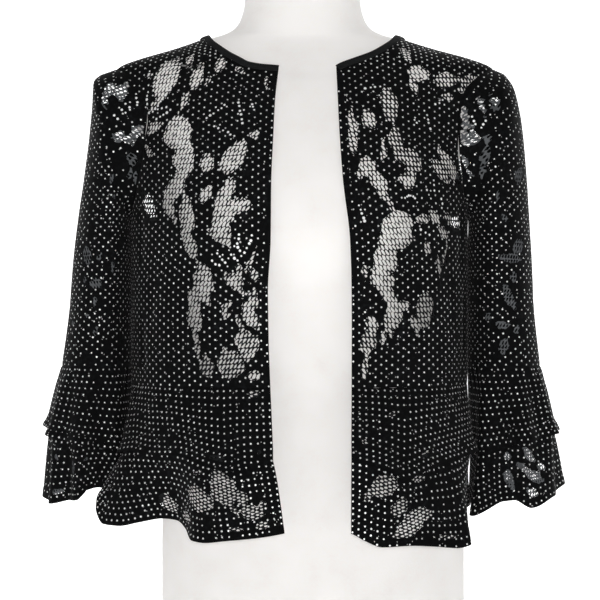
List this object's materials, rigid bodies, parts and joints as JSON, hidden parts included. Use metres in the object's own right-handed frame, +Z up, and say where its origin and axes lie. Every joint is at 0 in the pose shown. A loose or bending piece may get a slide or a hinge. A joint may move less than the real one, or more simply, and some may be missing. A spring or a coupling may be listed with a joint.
{
  "type": "lace cardigan on a dress form",
  "caption": "Short open-front cardigan of floral lace with tiered ruffles at the cuffs and the peplum hem, hanging on a plain limbless dress form.",
  "frame": {"origin": "centre of the whole footprint, on the plane that the form stands on", "axes": "+Z up, the front of the garment faces -Y, +X towards the wearer's left"},
  "size_m": [0.5286, 0.2726, 0.72],
  "materials": {
    "lace": "black floral warp-knit lace with silver foil dots",
    "binding": "plain black knit tape",
    "jersey": "matt off-white jersey cover"
  },
  "bodies": {
    "root": {"dress_form": "jersey", "bodice_back": "lace", "bodice_front_right": "lace", "bodice_front_left": "lace", "sleeve_right": "lace", "sleeve_left": "lace", "sleeve_ruffle_upper_right": "lace", "sleeve_ruffle_lower_right": "lace", "sleeve_ruffle_upper_left": "lace", "sleeve_ruffle_lower_left": "lace", "peplum_upper_front_right": "lace", "peplum_upper_back": "lace", "peplum_upper_front_left": "lace", "peplum_lower_front_right": "lace", "peplum_lower_back": "lace", "peplum_lower_front_left": "lace", "neck_binding": "binding"}
  },
  "joints": []
}
